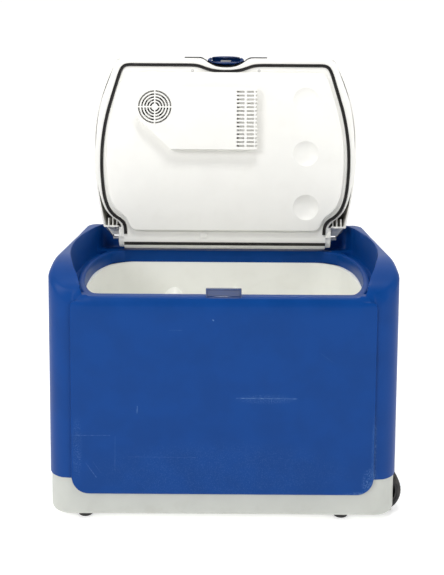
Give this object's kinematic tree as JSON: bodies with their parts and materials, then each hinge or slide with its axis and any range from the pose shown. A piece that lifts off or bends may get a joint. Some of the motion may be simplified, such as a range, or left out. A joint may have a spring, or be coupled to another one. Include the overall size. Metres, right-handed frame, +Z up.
{
  "type": "wheeled cool box",
  "caption": "Rigid insulated cool box on wheels with a hinged lid that holds the cooling unit, a push latch and a folding tow handle.",
  "frame": {"origin": "on the floor, below the middle of the object's box with the lid open", "axes": "+X towards the wheeled end, to the right seen from the front; +Y from the front to the back; +Z up"},
  "size_m": [0.5526, 0.4612, 0.7315],
  "materials": {
    "casing_blue": "satin",
    "base_grey": "satin",
    "liner_white": "gloss",
    "lid_white": "satin",
    "foam": "matte",
    "seal_black": "matte",
    "wheel_tyre": "matte",
    "wheel_hub": "satin",
    "foot_rubber": "matte",
    "steel": "satin",
    "sink_aluminium": "satin",
    "module_ceramic": "matte",
    "latch_blue": "gloss",
    "trim_black": "satin",
    "handle_grey": "satin",
    "grip_black": "matte"
  },
  "bodies": {
    "case": {"outer_shell": "casing_blue", "base_tray": "base_grey", "liner_tub": "liner_white", "body_foam": "foam", "catch_plate": "latch_blue", "feet": "foot_rubber", "base_screws": "steel", "axle": "steel", "axle_caps": "steel", "hinge_pins": "steel", "tow_pins": "steel"},
    "tow_bail": {"tow_handle": "handle_grey", "tow_grip": "grip_black"},
    "wheel_front": {"wheel_front_tyre": "wheel_tyre", "wheel_front_hub": "wheel_hub"},
    "wheel_rear": {"wheel_rear_tyre": "wheel_tyre", "wheel_rear_hub": "wheel_hub"},
    "lid": {"lid_outer_shell": "lid_white", "lid_inner_panel": "lid_white", "lid_foam": "foam", "hinge_barrel": "lid_white", "main_seal": "seal_black", "rear_seal_strip": "seal_black", "duct_cover": "lid_white", "cold_sink": "sink_aluminium", "peltier_module": "module_ceramic", "hot_sink": "sink_aluminium", "fan_motor": "trim_black", "fan_bracket": "handle_grey", "top_grille": "handle_grey", "power_socket": "trim_black", "latch_trim": "trim_black", "panel_screws": "steel"},
    "fan_rotor": {"fan_shaft": "steel", "inner_fan": "trim_black", "outer_fan": "trim_black"},
    "latch": {"latch_button": "latch_blue", "latch_hook": "steel"}
  },
  "joints": [
    {"name": "lid_hinge", "type": "hinge", "parent": "case", "child": "lid", "pos_m": [-0.0053, 0.12188, 0.376], "axis": [1, 0, 0], "range_deg": [0, 97]},
    {"name": "latch_press", "type": "slide", "parent": "lid", "child": "latch", "axis": [0, -0.1219, -0.9925], "range_m": [0, 0.0025], "stiffness_N_per_m": 1200, "springref_m": -0.002},
    {"name": "fan_spin", "type": "hinge", "parent": "lid", "child": "fan_rotor", "pos_m": [-0.1398, 0.15246, 0.62513], "axis": [0, 0.9925, -0.1219], "continuous": true},
    {"name": "wheel_front_spin", "type": "hinge", "parent": "case", "child": "wheel_front", "pos_m": [0.2407, -0.18562, 0.0356], "axis": [0, 1, 0], "continuous": true},
    {"name": "wheel_rear_spin", "type": "hinge", "parent": "case", "child": "wheel_rear", "pos_m": [0.2407, 0.11938, 0.0356], "axis": [0, 1, 0], "continuous": true},
    {"name": "tow_swing", "type": "hinge", "parent": "case", "child": "tow_bail", "pos_m": [-0.2673, -0.03312, 0.315], "axis": [0, 1, 0], "range_deg": [0, 120]}
  ]
}
